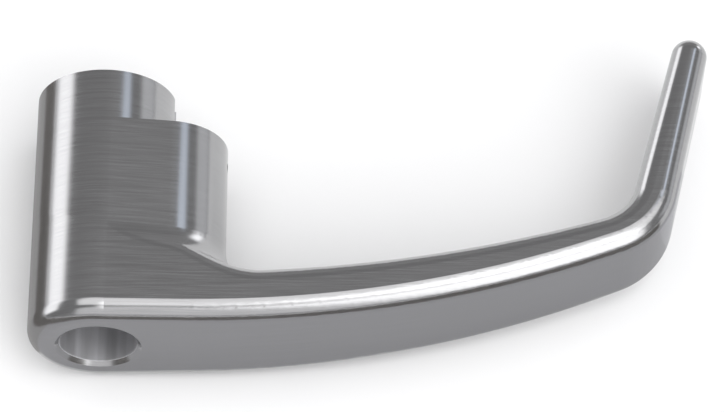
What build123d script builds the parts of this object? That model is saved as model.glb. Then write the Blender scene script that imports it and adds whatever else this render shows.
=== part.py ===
from build123d import *
import math
import os

# One-piece door lever, placed as it sits on an upright door: +X along the grip, +Y towards the door, +Z up.
# It is built with the front face on y = 0 and moved at the end, so that the origin is the middle of the
# hub's door end. Sizes are in millimetres, angles in degrees.

# Hub
HUB_RADIUS = 12.5
HUB_LENGTH = 49.2
BORE_RADIUS = 6.8
BORE_CHAMFER = 0.8

# Housing beside the hub, for the pins of a lock cylinder
HOUSING_OFFSET = 11.0
HOUSING_STEP = 1.5
HOUSING_BACK = 39.5
HOUSING_BLEND = 8.3
CHAMBER_WIDTH = 4.4
CHAMBER_REACH = 17.5
CHAMBER_FLOOR = 14.0
PIN_HOLE_RADIUS = 1.0
PIN_HOLE_INSET = 3.7

# Grip seen from above: a front arc and a back arc
FRONT_START = 15.2
FRONT_RADIUS = 205.0
BACK_START = 13.4
BACK_RADIUS = 245.0
BACK_ROOT_RADIUS = 130.0
GRIP_THICKNESS = 9.7
FRONT_ELBOW_START = 92.2
FRONT_ELBOW_RADIUS = 16.0
BACK_ELBOW_START = 88.4
BACK_ELBOW_RADIUS = 9.3

# Return, the leg that bends back towards the door
RETURN_LEAN = 13.0
RETURN_REACH = 58.9

# Upper and lower sides, the rounding of their edges, and what the tip's round has over it
SIDE_TAPER = 1.7
EDGE_ROUND = 3.1
TIP_EXTRA = 0.1

# Clearance by which a cutting or trimming shape passes the part
MARGIN = 5.0

# Two points closer than this are the same point
TOUCH = 0.01

# Drawing plane for outlines seen along the hub: x along the grip, extruded towards the door
ALONG_HUB = Plane(origin=(0, 0, 0), x_dir=(1, 0, 0), z_dir=(0, 1, 0))


def arc_point(start, radius, x):
    """Point at x, and its heading, on an arc that leaves the start point along X and bends towards +Y."""
    heading = math.asin((x - start[0]) / radius)
    return (x, start[1] + abs(radius) * (1 - math.cos(heading))), heading


def beside(start, heading, distance):
    """Point at a distance to the left of a heading, which is an angle from +X towards +Y."""
    return (start[0] - distance * math.sin(heading), start[1] + distance * math.cos(heading))


def grip_outline(left):
    """Face bounded by the grip's front and back curves, seen from above, from x = left to the return's tip."""
    front_start = (FRONT_START, 0)
    front_mid, _ = arc_point(front_start, FRONT_RADIUS, (FRONT_START + FRONT_ELBOW_START) / 2)
    front_end, front_heading = arc_point(front_start, FRONT_RADIUS, FRONT_ELBOW_START)
    back_start = (BACK_START, GRIP_THICKNESS)
    back_mid, _ = arc_point(back_start, BACK_RADIUS, (BACK_START + BACK_ELBOW_START) / 2)
    back_end, back_heading = arc_point(back_start, BACK_RADIUS, BACK_ELBOW_START)
    root_mid, _ = arc_point(back_start, -BACK_ROOT_RADIUS, (BACK_START + left) / 2)
    root_end, _ = arc_point(back_start, -BACK_ROOT_RADIUS, left)

    # Outside of the elbow, the straight leg after it, and the round of the tip inside that leg
    leg_heading = math.radians(90 - RETURN_LEAN)
    front_centre = beside(front_end, front_heading, FRONT_ELBOW_RADIUS)
    front_bend = beside(front_centre, (front_heading + leg_heading) / 2, -FRONT_ELBOW_RADIUS)
    front_leg = beside(front_centre, leg_heading, -FRONT_ELBOW_RADIUS)
    tip_radius = EDGE_ROUND + TIP_EXTRA
    tip_y = RETURN_REACH - tip_radius
    leg_side = beside(front_leg, leg_heading, tip_radius)
    tip_centre = (leg_side[0] + (tip_y - leg_side[1]) / math.tan(leg_heading), tip_y)

    # Inside of the elbow, and the line that touches both its round and the tip's
    back_centre = beside(back_end, back_heading, BACK_ELBOW_RADIUS)
    across = math.atan2(tip_centre[1] - back_centre[1], tip_centre[0] - back_centre[0])
    turn = math.asin((BACK_ELBOW_RADIUS + tip_radius) / math.dist(tip_centre, back_centre))
    back_leg = beside(back_centre, across + turn, -BACK_ELBOW_RADIUS)
    back_bend = beside(back_centre, (back_heading + across + turn) / 2, -BACK_ELBOW_RADIUS)

    tip_front = beside(tip_centre, leg_heading, -tip_radius)
    tip_back = beside(tip_centre, across + turn, tip_radius)
    return make_face(
        [
            Line((left, 0), front_start),
            ThreePointArc(front_start, front_mid, front_end),
            ThreePointArc(front_end, front_bend, front_leg),
            Line(front_leg, tip_front),
            ThreePointArc(tip_front, (tip_centre[0], RETURN_REACH), tip_back),
            Line(tip_back, back_leg),
            ThreePointArc(back_leg, back_bend, back_end),
            ThreePointArc(back_end, back_mid, back_start),
            ThreePointArc(back_start, root_mid, root_end),
            Line(root_end, (left, 0)),
        ]
    )


def housing_outline():
    """Face seen along the hub: the hub's circle and the housing's circle, joined by common tangents."""
    end_x = HOUSING_OFFSET + housing_radius * math.sin(tangent_lean)
    end_z = housing_radius * math.cos(tangent_lean)
    return ALONG_HUB * make_face(
        [
            ThreePointArc((hub_x, -hub_z), (-HUB_RADIUS, 0), (hub_x, hub_z)),
            Line((hub_x, hub_z), (end_x, end_z)),
            ThreePointArc((end_x, end_z), (HOUSING_OFFSET + housing_radius, 0), (end_x, -end_z)),
            Line((end_x, -end_z), (hub_x, -hub_z)),
        ]
    )


def side_outline(right):
    """Face seen along the hub: the hub's circle and the grip's two tapering sides, up to x = right."""
    end_z = hub_z - (right - hub_x) * math.tan(math.radians(SIDE_TAPER))
    return ALONG_HUB * make_face(
        [
            ThreePointArc((hub_x, -hub_z), (-HUB_RADIUS, 0), (hub_x, hub_z)),
            Line((hub_x, hub_z), (right, end_z)),
            Line((right, end_z), (right, -end_z)),
            Line((right, -end_z), (hub_x, -hub_z)),
        ]
    )


def follows(edge, wire):
    """True where the start, middle and end of an edge all lie on a wire, seen along the hub."""
    points = [edge.position_at(share) for share in (0, 0.5, 1)]
    return all(wire.distance_to(Vector(point.X, 0, point.Z)) < TOUCH for point in points)


# Line on the hub where the housing's flat wall, and below it the side of the grip, begins
housing_radius = HUB_RADIUS - HOUSING_STEP
tangent_lean = math.asin(HOUSING_STEP / HOUSING_OFFSET)
hub_x = HUB_RADIUS * math.sin(tangent_lean)
hub_z = HUB_RADIUS * math.cos(tangent_lean)

# Grip, still wider than its sides, with the housing standing on its back and a hollow blend between them
wide = HUB_RADIUS + HOUSING_BLEND + MARGIN
outline = grip_outline(-wide)
slab = extrude(outline, wide, both=True)
housing_face = housing_outline()
housing_foot = GRIP_THICKNESS / 2
housing = Pos(0, housing_foot, 0) * extrude(housing_face, HOUSING_BACK - housing_foot)
body = slab + housing
housing_wire = housing_face.wire()
root = [
    edge
    for edge in body.edges()
    if follows(edge, housing_wire) and housing_foot < edge.center().Y < (GRIP_THICKNESS + HOUSING_BACK) / 2
]
body = fillet(root, HOUSING_BLEND)

# Upper and lower sides, tangent to the hub and closing towards the return
side_face = side_outline(outline.bounding_box().max.X + MARGIN)
body = body & extrude(side_face, max(RETURN_REACH, HOUSING_BACK) + MARGIN)

# One rounding runs round the front of the hub, along the grip, over the tip and back to the housing
sides = [
    face
    for face in body.faces()
    if face.geom_type == GeomType.PLANE and abs(face.normal_at().Z) > math.cos(math.radians(SIDE_TAPER + TOUCH))
]
rounded = [edge for face in sides for edge in face.edges() if edge.bounding_box().max.X > hub_x + TOUCH]
front_rim = [
    edge for edge in body.edges() if edge.geom_type == GeomType.CIRCLE and abs(edge.center().Y) < TOUCH
]
body = fillet(rounded + front_rim, EDGE_ROUND)

# Hub to its full length
body = body + Pos(0, HOUSING_BACK / 2, 0) * extrude(ALONG_HUB * Circle(HUB_RADIUS), HUB_LENGTH - HOUSING_BACK / 2)

# Bore through the hub
bore = Pos(0, -MARGIN, 0) * extrude(ALONG_HUB * Circle(BORE_RADIUS), HUB_LENGTH + 2 * MARGIN)
body = body - bore
mouth = [
    edge
    for edge in body.edges()
    if edge.geom_type == GeomType.CIRCLE and abs(edge.center().Y) < TOUCH and abs(edge.radius - BORE_RADIUS) < TOUCH
]
body = chamfer(mouth, BORE_CHAMFER)

# Pin chamber with a round outer end, open at the door end and through the hub's wall behind the housing
chamber_run = CHAMBER_REACH + CHAMBER_WIDTH / 2
chamber_face = Pos(CHAMBER_REACH - chamber_run / 2, 0) * SlotOverall(chamber_run, CHAMBER_WIDTH)
chamber = Pos(0, CHAMBER_FLOOR, 0) * extrude(ALONG_HUB * chamber_face, HUB_LENGTH - CHAMBER_FLOOR + MARGIN)
body = body - chamber

# Cross hole for the pin that holds the cylinder
pin_hole = Pos(CHAMBER_REACH / 2, HOUSING_BACK - PIN_HOLE_INSET, 0) * extrude(
    Plane.YZ * Circle(PIN_HOLE_RADIUS), HOUSING_OFFSET + housing_radius + MARGIN
)
body = body - pin_hole

lever = Pos(0, -HUB_LENGTH, 0) * body
lever.label = "lever"

os.makedirs("parts", exist_ok=True)
export_step(lever, "parts/lever.step")
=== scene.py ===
"""Looks of a one-piece satin steel door lever: its brushed finish, the studio round it and the camera."""

import logging
import math
from dataclasses import dataclass, field
from enum import Enum

import bmesh
import bpy
from mathutils import Matrix, Vector


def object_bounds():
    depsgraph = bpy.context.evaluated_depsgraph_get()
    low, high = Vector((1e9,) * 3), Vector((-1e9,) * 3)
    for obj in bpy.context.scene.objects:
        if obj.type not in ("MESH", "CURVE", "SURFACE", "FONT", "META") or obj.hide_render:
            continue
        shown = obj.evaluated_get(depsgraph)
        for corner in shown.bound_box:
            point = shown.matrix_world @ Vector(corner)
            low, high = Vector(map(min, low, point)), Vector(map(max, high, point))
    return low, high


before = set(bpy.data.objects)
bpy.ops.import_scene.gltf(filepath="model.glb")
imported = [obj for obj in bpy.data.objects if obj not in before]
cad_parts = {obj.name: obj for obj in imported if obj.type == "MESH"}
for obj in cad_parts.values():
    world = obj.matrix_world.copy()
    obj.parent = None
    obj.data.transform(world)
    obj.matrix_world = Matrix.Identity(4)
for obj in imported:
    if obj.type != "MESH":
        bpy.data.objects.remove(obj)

log = logging.getLogger("door_lever")

Colour = tuple[float, float, float]
Point = tuple[float, float, float]
PlanPoint = tuple[float, float]
Sockets = bpy.types.bpy_prop_collection

CAD_BOX = [list(corner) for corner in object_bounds()]
FLOOR_LEVEL = CAD_BOX[0][2]
MM = 0.001

# The part of a noise's range that holds nearly all of its values
NOISE_LOW = 0.3
NOISE_HIGH = 0.7

# Streaks are a little longer and wider than the marks whose height is seen
STREAK_SHARE = 0.8

# Layers of finer marks among the coarse ones
NOISE_DETAIL = 2.0

# Least length of a direction along a softbox's middle, so that nothing is divided by zero
SMALLEST_DEPTH = 0.001


def feed(tree: bpy.types.NodeTree, socket: bpy.types.NodeSocket, value: object) -> None:
    """Gives an input its value.

    Args:
        tree: Node tree that holds the input.
        socket: The input.
        value: Output socket that is linked to it, or the value that is set on it.
    """
    if isinstance(value, bpy.types.NodeSocket):
        tree.links.new(value, socket)
    else:
        socket.default_value = value


def math_node(tree: bpy.types.NodeTree, operation: str, *values: object) -> bpy.types.NodeSocket:
    """Adds a Math node.

    Args:
        tree: Node tree that gets the node.
        operation: The node's operation.
        values: A number or an output socket for each input, in order.

    Returns:
        The node's output socket.
    """
    node = tree.nodes.new("ShaderNodeMath")
    node.operation = operation
    for socket, value in zip(node.inputs, values):
        feed(tree, socket, value)
    return node.outputs["Value"]


def vector_node(
    tree: bpy.types.NodeTree, operation: str, first: bpy.types.NodeSocket, second: bpy.types.NodeSocket
) -> bpy.types.NodeSocket:
    """Adds a Vector Math node.

    Args:
        tree: Node tree that gets the node.
        operation: The node's operation: ADD, MULTIPLY, DOT_PRODUCT or SCALE.
        first: Output socket of the first vector.
        second: Output socket of the second vector, or of the scale.

    Returns:
        The socket with the result.
    """
    node = tree.nodes.new("ShaderNodeVectorMath")
    node.operation = operation
    tree.links.new(first, node.inputs[0])
    tree.links.new(second, node.inputs["Scale"] if operation == "SCALE" else node.inputs[1])
    return node.outputs["Value" if operation == "DOT_PRODUCT" else "Vector"]


def range_node(
    tree: bpy.types.NodeTree,
    value: bpy.types.NodeSocket,
    source: tuple[object, object],
    target: tuple[float, float],
    interpolation: str = "LINEAR",
) -> bpy.types.NodeSocket:
    """Adds a Map Range node.

    Args:
        tree: Node tree that gets the node.
        value: Output socket of the value.
        source: Both ends of the value's range, each a number or an output socket.
        target: The numbers that these ends become.
        interpolation: How the node runs from one to the other.

    Returns:
        The socket with the result.
    """
    node = tree.nodes.new("ShaderNodeMapRange")
    node.interpolation_type = interpolation
    tree.links.new(value, node.inputs["Value"])
    for name, end in zip(("From Min", "From Max", "To Min", "To Max"), (*source, *target)):
        feed(tree, node.inputs[name], end)
    return node.outputs["Result"]


def blend_node(
    tree: bpy.types.NodeTree,
    kind: str,
    share: bpy.types.NodeSocket,
    first: bpy.types.NodeSocket,
    second: bpy.types.NodeSocket,
) -> bpy.types.NodeSocket:
    """Adds a Mix node.

    Args:
        tree: Node tree that gets the node.
        kind: What it mixes, FLOAT or RGBA.
        share: Output socket with the second value's share.
        first: Output socket of the first value.
        second: Output socket of the second value.

    Returns:
        The socket with the mixed value.
    """
    node = tree.nodes.new("ShaderNodeMix")
    node.data_type = kind
    tree.links.new(share, node.inputs[0])
    values = [socket for socket in node.inputs if socket.enabled and socket.name in ("A", "B")]
    tree.links.new(first, values[0])
    tree.links.new(second, values[1])
    return next(socket for socket in node.outputs if socket.enabled)


class SharedGroup:
    """A shader node group that is built once and placed wherever it is needed."""

    NAME: str
    INPUTS: dict[str, str]
    OUTPUTS: dict[str, str]

    @classmethod
    def place(cls, tree: bpy.types.NodeTree, values: dict[str, object]) -> bpy.types.Node:
        """Places the group in a node tree, and builds it the first time.

        Args:
            tree: Node tree that gets the group.
            values: Value or output socket of each input, by name.

        Returns:
            The group's node.
        """
        node = tree.nodes.new("ShaderNodeGroup")
        node.node_tree = bpy.data.node_groups.get(cls.NAME) or cls.build()
        for name, value in values.items():
            feed(tree, node.inputs[name], value)
        return node

    @classmethod
    def build(cls) -> bpy.types.NodeTree:
        """Builds the group.

        Returns:
            The node group, with its named sockets and the nodes between them.
        """
        group = bpy.data.node_groups.new(cls.NAME, "ShaderNodeTree")
        for name, kind in cls.INPUTS.items():
            group.interface.new_socket(name, in_out="INPUT", socket_type=kind)
        for name, kind in cls.OUTPUTS.items():
            group.interface.new_socket(name, in_out="OUTPUT", socket_type=kind)
        start = group.nodes.new("NodeGroupInput")
        end = group.nodes.new("NodeGroupOutput")
        cls.fill(group, start.outputs, end.inputs)
        return group

    @classmethod
    def fill(cls, group: bpy.types.NodeTree, given: Sockets, result: Sockets) -> None:
        """Adds the nodes between the group's inputs and its outputs.

        Args:
            group: The node group.
            given: Sockets with the group's inputs, by name.
            result: Sockets that take the group's outputs, by name.
        """
        raise NotImplementedError


class BrushMarks(SharedGroup):
    """Long fine marks that run along one axis: their height, and a mask of darker and lighter streaks."""

    NAME = "brush marks"
    INPUTS = {
        "Coordinates": "NodeSocketVector",
        "Turn": "NodeSocketVector",
        "Across": "NodeSocketFloat",
        "Along": "NodeSocketFloat",
        "Seed": "NodeSocketFloat",
    }
    OUTPUTS = {"Height": "NodeSocketFloat", "Streaks": "NodeSocketFloat"}

    @classmethod
    def fill(cls, group: bpy.types.NodeTree, given: Sockets, result: Sockets) -> None:
        """Adds two noises, one for the height and one for the streaks, stretched the way the marks run.

        Args:
            group: The node group.
            given: Sockets with the group's inputs, by name.
            result: Sockets that take the group's outputs, by name.
        """
        turned = group.nodes.new("ShaderNodeVectorRotate")
        turned.rotation_type = "EULER_XYZ"
        group.links.new(given["Coordinates"], turned.inputs["Vector"])
        group.links.new(given["Turn"], turned.inputs["Rotation"])
        for output, share in (("Height", 1.0), ("Streaks", STREAK_SHARE)):
            across = math_node(group, "MULTIPLY", given["Across"], share)
            along = math_node(group, "MULTIPLY", given["Along"], share)
            spread = group.nodes.new("ShaderNodeCombineXYZ")
            for axis, value in (("X", along), ("Y", across), ("Z", along)):
                group.links.new(value, spread.inputs[axis])
            noise = group.nodes.new("ShaderNodeTexNoise")
            noise.noise_dimensions = "4D"
            noise.inputs["Scale"].default_value = 1.0
            noise.inputs["Detail"].default_value = NOISE_DETAIL
            stretched = vector_node(group, "MULTIPLY", turned.outputs["Vector"], spread.outputs["Vector"])
            group.links.new(stretched, noise.inputs["Vector"])
            group.links.new(given["Seed"], noise.inputs["W"])
            group.links.new(noise.outputs["Fac"], result[output])


class InsideMask(SharedGroup):
    """Mask that is 1 on the walls of the bore and of the pin chamber, where the bored finish and the
    painted light go, and 0 outside.
    """

    NAME = "inside mask"
    INPUTS = {
        "Coordinates": "NodeSocketVector",
        "Bore Radius": "NodeSocketFloat",
        "Chamber Half Width": "NodeSocketFloat",
        "Chamber Reach": "NodeSocketFloat",
        "Chamber Floor": "NodeSocketFloat",
    }
    OUTPUTS = {"Mask": "NodeSocketFloat"}

    @classmethod
    def fill(cls, group: bpy.types.NodeTree, given: Sockets, result: Sockets) -> None:
        """Adds the test of a point against the bore's radius, and against the four limits of the chamber.

        Args:
            group: The node group.
            given: Sockets with the group's inputs, by name.
            result: Sockets that take the group's outputs, by name.
        """
        place = group.nodes.new("ShaderNodeSeparateXYZ")
        group.links.new(given["Coordinates"], place.inputs["Vector"])
        along_grip, along_hub, height = (place.outputs[axis] for axis in "XYZ")
        squares = [math_node(group, "POWER", distance, 2.0) for distance in (along_grip, height)]
        from_axis = math_node(group, "SQRT", math_node(group, "ADD", *squares))
        bore = math_node(group, "LESS_THAN", from_axis, given["Bore Radius"])
        chamber = math_node(
            group, "LESS_THAN", math_node(group, "ABSOLUTE", height), given["Chamber Half Width"]
        )
        for operation, distance, limit in (
            ("LESS_THAN", along_grip, given["Chamber Reach"]),
            ("GREATER_THAN", along_grip, 0.0),
            ("GREATER_THAN", along_hub, given["Chamber Floor"]),
        ):
            chamber = math_node(group, "MULTIPLY", chamber, math_node(group, operation, distance, limit))
        group.links.new(math_node(group, "MAXIMUM", bore, chamber), result["Mask"])


class SoftboxPatch(SharedGroup):
    """Light of one rectangular patch of the sky, in each direction."""

    NAME = "softbox patch"
    INPUTS = {
        "Direction": "NodeSocketVector",
        "Middle": "NodeSocketVector",
        "Across": "NodeSocketVector",
        "Up": "NodeSocketVector",
        "Half Width": "NodeSocketFloat",
        "Half Height": "NodeSocketFloat",
        "Edge": "NodeSocketFloat",
        "Light": "NodeSocketColor",
    }
    OUTPUTS = {"Glow": "NodeSocketColor"}

    @classmethod
    def fill(cls, group: bpy.types.NodeTree, given: Sockets, result: Sockets) -> None:
        """Fades the light over the patch's edges, and keeps it out of the opposite half of the sky.

        Args:
            group: The node group.
            given: Sockets with the group's inputs, by name.
            result: Sockets that take the group's outputs, by name.
        """
        ahead = vector_node(group, "DOT_PRODUCT", given["Direction"], given["Middle"])
        depth = math_node(group, "MAXIMUM", ahead, SMALLEST_DEPTH)
        share = math_node(group, "GREATER_THAN", ahead, 0.0)
        for axis, size in (("Across", "Half Width"), ("Up", "Half Height")):
            offset = vector_node(group, "DOT_PRODUCT", given["Direction"], given[axis])
            slope = math_node(group, "ABSOLUTE", math_node(group, "DIVIDE", offset, depth))
            inner = math_node(group, "SUBTRACT", given[size], given["Edge"])
            outer = math_node(group, "ADD", given[size], given["Edge"])
            fall = range_node(group, slope, (inner, outer), (1.0, 0.0), "SMOOTHSTEP")
            share = math_node(group, "MULTIPLY", share, fall)
        group.links.new(vector_node(group, "SCALE", given["Light"], share), result["Glow"])


class MarkRun(Enum):
    """How marks run in the metal, as the turn that brings them there from lines along X on a level face."""

    ALONG_GRIP = (0.0, 0.0, 0.0)
    ALONG_FRONT = (90.0, 0.0, 0.0)
    ALONG_HUB = (0.0, 0.0, 90.0)


@dataclass(frozen=True)
class Marks:
    """Marks left in the metal by one tool.

    Attributes:
        run: How they run.
        grooves: Marks per metre across that direction.
        lengths: Marks per metre along it.
        seed: Number that sets their pattern.
    """

    run: MarkRun
    grooves: float
    lengths: float
    seed: float

    def nodes(self, tree: bpy.types.NodeTree, place: bpy.types.NodeSocket) -> bpy.types.Node:
        """Adds the marks to a material.

        Args:
            tree: The material's node tree.
            place: Output socket with the object's own coordinates.

        Returns:
            The group's node, with the outputs Height and Streaks.
        """
        return BrushMarks.place(
            tree,
            {
                "Coordinates": place,
                "Turn": [math.radians(angle) for angle in self.run.value],
                "Across": self.grooves,
                "Along": self.lengths,
                "Seed": self.seed,
            },
        )


@dataclass(frozen=True)
class Surface:
    """Colour and gloss of one kind of surface of the steel.

    Attributes:
        dark: Colour of the darker streaks.
        light: Colour of the lighter streaks.
        smooth: Roughness of the darker streaks.
        rough: Roughness of the lighter streaks.
        marks: The marks that make the streaks.
    """

    dark: Colour
    light: Colour
    smooth: float
    rough: float
    marks: Marks

    def nodes(
        self, tree: bpy.types.NodeTree, place: bpy.types.NodeSocket
    ) -> tuple[bpy.types.NodeSocket, bpy.types.NodeSocket, bpy.types.NodeSocket]:
        """Adds the surface to a material.

        Args:
            tree: The material's node tree.
            place: Output socket with the object's own coordinates.

        Returns:
            The sockets with its colour, its roughness and the height of its marks.
        """
        marks = self.marks.nodes(tree, place)
        ramp = tree.nodes.new("ShaderNodeValToRGB")
        for stop, at, colour in zip(
            ramp.color_ramp.elements, (NOISE_LOW, NOISE_HIGH), (self.dark, self.light)
        ):
            stop.position = at
            stop.color = (*colour, 1.0)
        tree.links.new(marks.outputs["Streaks"], ramp.inputs["Fac"])
        roughness = range_node(
            tree, marks.outputs["Streaks"], (NOISE_LOW, NOISE_HIGH), (self.smooth, self.rough)
        )
        return ramp.outputs["Color"], roughness, marks.outputs["Height"]


@dataclass(frozen=True)
class SatinSteel:
    """Satin stainless steel, brushed with a fine belt outside and left as bored inside, where a lighter
    colour also paints light into the hollows.

    Attributes:
        outside: Surface of the grip, the hub and the housing.
        front: Surface of the faces that look along the hub, which are plainer.
        inside: Surface of the bore and of the pin chamber: rougher, as bored, and painted lighter than the
            outside, a painted light that brightens these hollows.
        front_from: Share of a face's normal along the hub from which the front surface shows.
        front_full: Share from which nothing else shows.
        bore_radius: Radius within which the bore's wall lies, in millimetres.
        chamber_half_width: Half the width within which the chamber's walls lie, in millimetres.
        chamber_reach: Distance within which they lie from the middle of the hub, in millimetres.
        chamber_floor: Place along the hub behind which they lie, in millimetres.
        depth: Height of the marks, in metres.
        relief: Strength of the marks in the surface normal.
    """

    outside: Surface = Surface(
        dark=(0.360, 0.360, 0.363),
        light=(0.405, 0.405, 0.411),
        smooth=0.15,
        rough=0.21,
        marks=Marks(MarkRun.ALONG_GRIP, grooves=6000.0, lengths=130.0, seed=1.0),
    )
    front: Surface = Surface(
        dark=(0.374, 0.374, 0.379),
        light=(0.394, 0.394, 0.401),
        smooth=0.16,
        rough=0.20,
        marks=Marks(MarkRun.ALONG_FRONT, grooves=5000.0, lengths=60.0, seed=2.0),
    )
    # Bore and pin chamber: the higher roughness is the bored finish, and the lighter colours are painted
    # light that brightens these hollows where shade falls
    inside: Surface = Surface(
        dark=(0.50, 0.50, 0.51),
        light=(0.68, 0.68, 0.70),
        smooth=0.6,
        rough=0.75,
        marks=Marks(MarkRun.ALONG_HUB, grooves=1000.0, lengths=40.0, seed=4.0),
    )
    front_from: float = 0.7
    front_full: float = 0.95
    bore_radius: float = 6.9
    chamber_half_width: float = 2.3
    chamber_reach: float = 17.6
    chamber_floor: float = -35.3
    depth: float = 0.00001
    relief: float = 0.35

    def material(self) -> bpy.types.Material:
        """Builds the material.

        Returns:
            A material whose streaks and marks follow the object's own coordinates.
        """
        steel = bpy.data.materials.new("satin steel")
        steel.use_nodes = True
        tree = steel.node_tree
        shader = tree.nodes["Principled BSDF"]
        shader.inputs["Metallic"].default_value = 1.0
        where = tree.nodes.new("ShaderNodeTexCoord")
        place = where.outputs["Object"]

        look = self.outside.nodes(tree, place)
        for share, surface in (
            (self.front_share(tree, where.outputs["Normal"]), self.front),
            (self.inside_share(tree, place), self.inside),
        ):
            look = tuple(
                blend_node(tree, kind, share, below, above)
                for kind, below, above in zip(("RGBA", "FLOAT", "FLOAT"), look, surface.nodes(tree, place))
            )
        colour, roughness, height = look
        tree.links.new(colour, shader.inputs["Base Color"])
        tree.links.new(roughness, shader.inputs["Roughness"])

        bump = tree.nodes.new("ShaderNodeBump")
        bump.inputs["Strength"].default_value = self.relief
        bump.inputs["Distance"].default_value = self.depth
        tree.links.new(height, bump.inputs["Height"])
        tree.links.new(bump.outputs["Normal"], shader.inputs["Normal"])
        return steel

    def front_share(self, tree: bpy.types.NodeTree, normal: bpy.types.NodeSocket) -> bpy.types.NodeSocket:
        """Adds the mask of the faces that look along the hub.

        Args:
            tree: The material's node tree.
            normal: Output socket with the object's own normal.

        Returns:
            The socket with the mask.
        """
        facing = tree.nodes.new("ShaderNodeSeparateXYZ")
        tree.links.new(normal, facing.inputs["Vector"])
        along_hub = math_node(tree, "ABSOLUTE", facing.outputs["Y"])
        return range_node(tree, along_hub, (self.front_from, self.front_full), (0.0, 1.0))

    def inside_share(self, tree: bpy.types.NodeTree, place: bpy.types.NodeSocket) -> bpy.types.NodeSocket:
        """Adds the mask of the bore and of the pin chamber.

        Args:
            tree: The material's node tree.
            place: Output socket with the object's own coordinates.

        Returns:
            The socket with the mask.
        """
        mask = InsideMask.place(
            tree,
            {
                "Coordinates": place,
                "Bore Radius": self.bore_radius * MM,
                "Chamber Half Width": self.chamber_half_width * MM,
                "Chamber Reach": self.chamber_reach * MM,
                "Chamber Floor": self.chamber_floor * MM,
            },
        )
        return mask.outputs["Mask"]


@dataclass(frozen=True)
class MattPaint:
    """Plain matt paint.

    Attributes:
        name: Name of its material.
        colour: Its colour.
    """

    name: str
    colour: Colour

    def material(self) -> bpy.types.Material:
        """Builds the material.

        Returns:
            A material of one colour and without gloss.
        """
        paint = bpy.data.materials.new(self.name)
        paint.use_nodes = True
        shader = paint.node_tree.nodes["Principled BSDF"]
        shader.inputs["Base Color"].default_value = (*self.colour, 1.0)
        shader.inputs["Roughness"].default_value = 1.0
        shader.inputs["Specular IOR Level"].default_value = 0.0
        return paint


@dataclass
class Lever:
    """The lever, which is one piece of steel.

    Attributes:
        node: Name of the lever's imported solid.
        finish: Finish of the whole lever.
    """

    node: str = "lever"
    finish: SatinSteel = field(default_factory=SatinSteel)

    def build(self) -> bpy.types.Object:
        """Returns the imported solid's object, whose shape is kept."""
        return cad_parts[self.node]

    def dress(self, piece: bpy.types.Object) -> None:
        """Gives the lever its finish.

        Args:
            piece: The lever's object.
        """
        steel = self.finish.material()
        for holder in piece.material_slots:
            holder.material = steel


@dataclass(frozen=True)
class ShadeCard:
    """Grey card of painted shade, seen only in the metal's reflections: one part lies beside the lever, and
    one stands at its far edge.

    Attributes:
        name: Its name.
        path: Near edge of the lying part, seen from above, in millimetres.
        lying: Colour of the lying part, the grey of the painted shade that the metal mirrors.
        standing: Colour of the standing part, the grey of the painted shade that the metal mirrors. On the
            left and front cards it is set darker than the lying part, to offset the brighter light that
            falls on it.
        rise: Height of the standing part, in millimetres.
        gap: Height of the lying part over the floor, in millimetres.
        middle: Point that the lying part's far edge is spread from, in millimetres.
        spread: How much wider that edge is than the near one, along X and along Y.
    """

    name: str
    path: tuple[PlanPoint, ...]
    lying: Colour
    standing: Colour
    rise: float = 19.0
    gap: float = 0.3
    middle: PlanPoint = (45.0, -10.0)
    spread: PlanPoint = (1.46, 1.87)

    def build(self) -> bpy.types.Object:
        """Builds the card.

        Returns:
            The card's object, which neither the camera nor the floor sees.
        """
        level = FLOOR_LEVEL + self.gap * MM
        work = bmesh.new()
        near = [bmesh.ops.create_vert(work, co=(x * MM, y * MM, level))["vert"][0] for x, y in self.path]
        edges = [work.edges.new(pair) for pair in zip(near, near[1:])]

        # Lying part, whose far edge is spread away from the lever
        lying = bmesh.ops.extrude_edge_only(work, edges=edges)["geom"]
        corners = [part for part in lying if isinstance(part, bmesh.types.BMVert)]
        middle = Vector((self.middle[0] * MM, self.middle[1] * MM, level))
        bmesh.ops.scale(work, vec=(*self.spread, 1.0), space=Matrix.Translation(-middle), verts=corners)

        # Standing part, on that far edge
        edges = [part for part in lying if isinstance(part, bmesh.types.BMEdge)]
        edges = [edge for edge in edges if not set(edge.verts) & set(near)]
        standing = bmesh.ops.extrude_edge_only(work, edges=edges)["geom"]
        corners = [part for part in standing if isinstance(part, bmesh.types.BMVert)]
        bmesh.ops.translate(work, vec=(0.0, 0.0, self.rise * MM), verts=corners)

        mesh = bpy.data.meshes.new(self.name)
        work.to_mesh(mesh)
        work.free()
        card = bpy.data.objects.new(self.name, mesh)
        # Hidden from the camera, from diffuse rays and from shadow rays: the card is only a painted
        # reflection of shade in the metal
        card.visible_camera = False
        card.visible_diffuse = False
        card.visible_shadow = False
        bpy.context.scene.collection.objects.link(card)
        return card

    def dress(self, card: bpy.types.Object) -> None:
        """Paints the card's two parts in the greys of its painted shade.

        Args:
            card: The card's object.
        """
        for part, colour in (("lying", self.lying), ("standing", self.standing)):
            card.data.materials.append(MattPaint(f"{self.name}, {part}", colour).material())
        for face in card.data.polygons:
            is_lying = abs(face.normal.z) > abs(face.normal.x) + abs(face.normal.y)
            face.material_index = 0 if is_lying else 1


# Cards of painted shade for the metal's reflections: beside the hub, before the grip and at the elbow
SHADE_CARDS = (
    ShadeCard(
        name="left card",
        path=((-13.5, 30.0), (-13.5, -50.2)),
        lying=(0.50, 0.495, 0.49),
        standing=(0.25, 0.237, 0.225),
    ),
    ShadeCard(
        name="front card",
        path=((-13.5, -50.2), (15.0, -50.2), (50.0, -47.2), (92.6, -35.1), (102.8, -23.2)),
        lying=(0.575, 0.575, 0.587),
        standing=(0.33, 0.315, 0.30),
    ),
    ShadeCard(
        name="elbow card",
        path=((102.8, -23.2), (106.5, -8.0)),
        lying=(0.64, 0.64, 0.66),
        standing=(0.64, 0.64, 0.66),
        rise=1.0,
    ),
)


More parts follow.
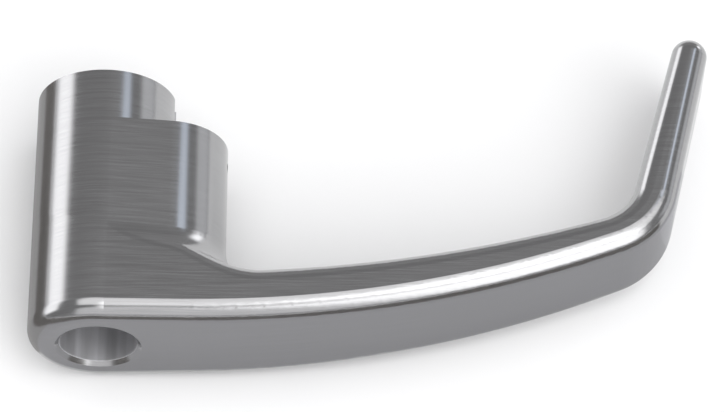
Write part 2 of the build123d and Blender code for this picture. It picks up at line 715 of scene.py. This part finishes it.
@dataclass(frozen=True)
class Softbox:
    """A rectangular patch of studio light on the sky.

    Attributes:
        name: Its name.
        azimuth: Direction of its middle, in degrees from +X towards +Y.
        elevation: Height of its middle over the horizon, in degrees.
        half_width: Half its width, in degrees.
        half_height: Half its height, in degrees.
        edge: Half the width of its soft edge, as a tangent.
        light: What it adds to the room's brightness in red, green and blue.
    """

    name: str
    azimuth: float
    elevation: float
    half_width: float
    half_height: float
    edge: float
    light: Colour

    def axes(self) -> tuple[Vector, Vector, Vector]:
        """Returns the directions of its middle, of its width and of its height."""
        turn, rise = math.radians(self.azimuth), math.radians(self.elevation)
        middle = Vector((math.cos(turn) * math.cos(rise), math.sin(turn) * math.cos(rise), math.sin(rise)))
        across = Vector((-math.sin(turn), math.cos(turn), 0.0))
        return middle, across, middle.cross(across)

    def glow(self, tree: bpy.types.NodeTree, direction: bpy.types.NodeSocket) -> bpy.types.NodeSocket:
        """Adds the softbox to the world.

        Args:
            tree: The world's node tree.
            direction: Output socket with the direction that is looked in.

        Returns:
            The socket with its light in that direction.
        """
        middle, across, up = self.axes()
        patch = SoftboxPatch.place(
            tree,
            {
                "Direction": direction,
                "Middle": middle,
                "Across": across,
                "Up": up,
                "Half Width": math.tan(math.radians(self.half_width)),
                "Half Height": math.tan(math.radians(self.half_height)),
                "Edge": self.edge,
                "Light": (*self.light, 1.0),
            },
        )
        patch.label = self.name
        return patch.outputs["Glow"]


@dataclass
class Studio:
    """Pale floor under the lever and a plain grey room with soft light round it.

    Attributes:
        floor_half: Half the floor's side, in metres.
        floor_colour: Colour of the floor.
        room: Brightness of the room between the softboxes.
        softboxes: The soft lights.
    """

    floor_half: float = 3.0
    floor_colour: Colour = (0.925, 0.925, 0.925)
    room: Colour = (0.345, 0.343, 0.347)
    softboxes: tuple[Softbox, ...] = (
        Softbox("top", 0.0, 82.0, 20.8, 37.0, 0.06, (1.34, 1.34, 1.34)),
        Softbox("top, brighter part", -20.0, 74.5, 13.0, 9.0, 0.05, (1.30, 1.30, 1.30)),
        Softbox("front", -74.0, 31.0, 40.0, 25.5, 0.12, (0.80, 0.80, 0.81)),
        Softbox("key", -48.0, 40.0, 22.0, 29.0, 0.12, (1.60, 1.60, 1.60)),
        Softbox("left", 158.0, 16.0, 34.0, 13.5, 0.09, (2.0, 2.0, 2.02)),
        Softbox("back, low", 85.0, 20.0, 38.0, 14.0, 0.12, (0.09, 0.09, 0.09)),
        Softbox("back, high", 58.0, 54.0, 10.0, 12.0, 0.18, (0.07, 0.07, 0.07)),
        Softbox("cool strip", 43.5, 45.2, 4.5, 6.0, 0.04, (0.88, 1.0, 1.18)),
        Softbox("cool strip, upper part", 43.0, 53.5, 3.5, 3.5, 0.03, (0.9, 1.0, 1.18)),
        Softbox("right", 26.0, 12.5, 30.0, 11.0, 0.05, (0.52, 0.53, 0.55)),
        Softbox("spot", 46.0, 11.0, 7.0, 8.0, 0.09, (1.9, 1.9, 1.92)),
    )

    def build(self) -> bpy.types.Object:
        """Builds the floor.

        Returns:
            The floor's object, level with the lever's lowest point.
        """
        mesh = bpy.data.meshes.new("floor")
        work = bmesh.new()
        bmesh.ops.create_grid(work, x_segments=1, y_segments=1, size=self.floor_half)
        bmesh.ops.translate(work, verts=work.verts, vec=(0.0, 0.0, FLOOR_LEVEL))
        work.to_mesh(mesh)
        work.free()
        floor = bpy.data.objects.new("floor", mesh)
        bpy.context.scene.collection.objects.link(floor)
        return floor

    def dress(self, floor: bpy.types.Object) -> None:
        """Paints the floor and lights the room.

        Args:
            floor: The floor's object.
        """
        floor.data.materials.append(MattPaint("studio floor", self.floor_colour).material())
        self.light()

    def light(self) -> None:
        """Builds the world: the room's own brightness and each softbox added to it."""
        world = bpy.data.worlds.new("studio")
        world.use_nodes = True
        bpy.context.scene.world = world
        tree = world.node_tree
        direction = tree.nodes.new("ShaderNodeTexCoord").outputs["Generated"]
        walls = tree.nodes.new("ShaderNodeCombineXYZ")
        for axis, value in zip("XYZ", self.room):
            walls.inputs[axis].default_value = value
        total = walls.outputs["Vector"]
        for box in self.softboxes:
            total = vector_node(tree, "ADD", total, box.glow(tree, direction))
        tree.links.new(total, tree.nodes["Background"].inputs["Color"])


@dataclass(frozen=True)
class PhotoCamera:
    """Camera at the photograph's viewing angle.

    Attributes:
        place: Its place, in metres.
        tilt: Its angle from looking straight down, in degrees.
        lens: Its focal length, in millimetres.
        sensor: Its sensor's width, in millimetres.
        nearest: Distance from which it sees, in metres.
    """

    place: Point = (0.046135, -0.337498, 0.556688)
    tilt: float = 29.626
    lens: float = 178.24
    sensor: float = 36.0
    nearest: float = 0.01

    def build(self) -> bpy.types.Object:
        """Builds the camera.

        Returns:
            The camera, which becomes the scene's own.
        """
        data = bpy.data.cameras.new("camera")
        data.lens = self.lens
        data.sensor_width = self.sensor
        data.clip_start = self.nearest
        camera = bpy.data.objects.new("camera", data)
        camera.location = self.place
        camera.rotation_euler = (math.radians(self.tilt), 0.0, 0.0)
        bpy.context.scene.collection.objects.link(camera)
        bpy.context.scene.camera = camera
        return camera


def main() -> None:
    """Builds the lever's looks, the studio and the camera."""
    logging.basicConfig(level=logging.INFO, format="%(message)s")
    bpy.context.scene.view_settings.view_transform = "Standard"

    lever = Lever()
    piece = lever.build()
    lever.dress(piece)
    log.info("%s: %d faces", piece.name, len(piece.data.polygons))

    studio = Studio()
    floor = studio.build()
    studio.dress(floor)
    log.info("%s: level at %.1f mm", floor.name, FLOOR_LEVEL / MM)

    for plan in SHADE_CARDS:
        card = plan.build()
        plan.dress(card)
        log.info("%s: %d faces", card.name, len(card.data.polygons))

    camera = PhotoCamera().build()
    log.info("%s: lens %.1f mm", camera.name, camera.data.lens)

    bpy.context.view_layer.update()


if __name__ == "__main__":
    main()
